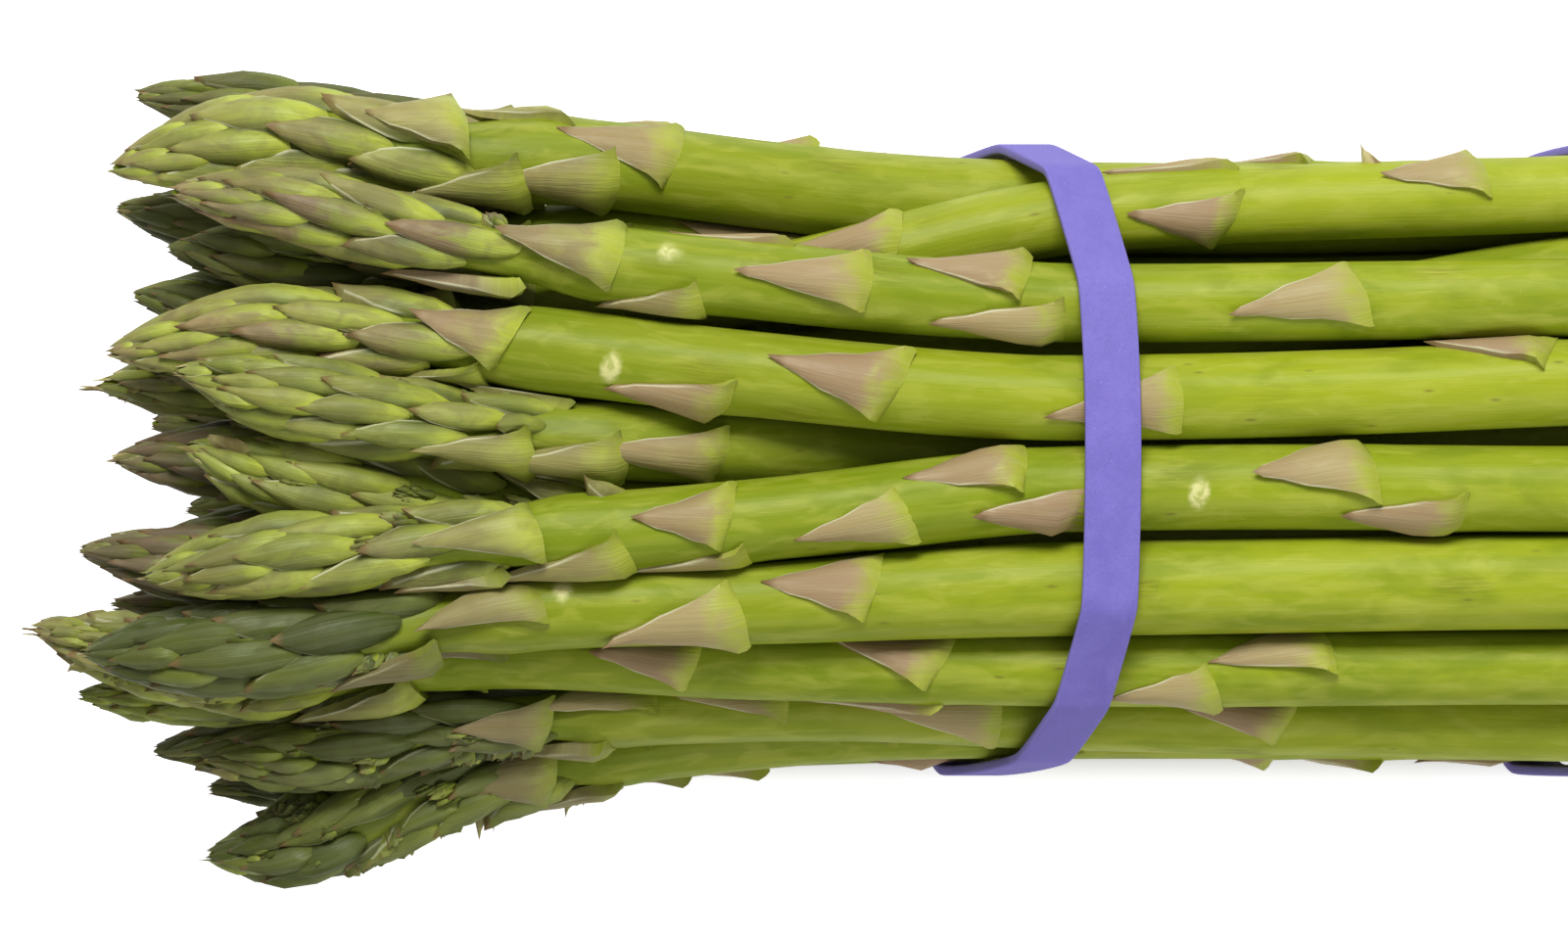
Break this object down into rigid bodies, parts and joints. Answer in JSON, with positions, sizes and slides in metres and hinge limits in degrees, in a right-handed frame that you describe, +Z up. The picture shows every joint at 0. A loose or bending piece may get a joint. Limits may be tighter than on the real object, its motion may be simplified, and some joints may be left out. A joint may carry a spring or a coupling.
{
  "type": "bundle of asparagus",
  "caption": "Bunch of green asparagus lying on its side, held by flat rubber bands, with scaly pointed heads at one end and plain cut stem ends at the other.",
  "frame": {"origin": "the middle of the bundle's box, on the surface that it lies on", "axes": "+X along the spears towards their cut ends, +Y across the bundle, +Z up"},
  "size_m": [0.2324, 0.1024, 0.0619],
  "materials": {
    "spear": "fresh waxy skin, yellow-green stems with mauve-tan scale leaves and olive green heads",
    "band": "matt violet-blue natural rubber"
  },
  "bodies": {
    "root": {"spear_01": "spear", "spear_02": "spear", "spear_03": "spear", "spear_04": "spear", "spear_05": "spear", "spear_06": "spear", "spear_07": "spear", "spear_08": "spear", "spear_09": "spear", "spear_10": "spear", "spear_11": "spear", "spear_12": "spear", "spear_13": "spear", "spear_14": "spear", "spear_15": "spear", "spear_16": "spear", "spear_17": "spear", "spear_18": "spear", "spear_19": "spear", "spear_20": "spear", "spear_21": "spear", "spear_22": "spear", "spear_23": "spear", "spear_24": "spear", "spear_25": "spear", "spear_26": "spear", "spear_27": "spear", "spear_28": "spear", "spear_29": "spear", "band_upper": "band", "band_lower": "band"}
  },
  "joints": []
}
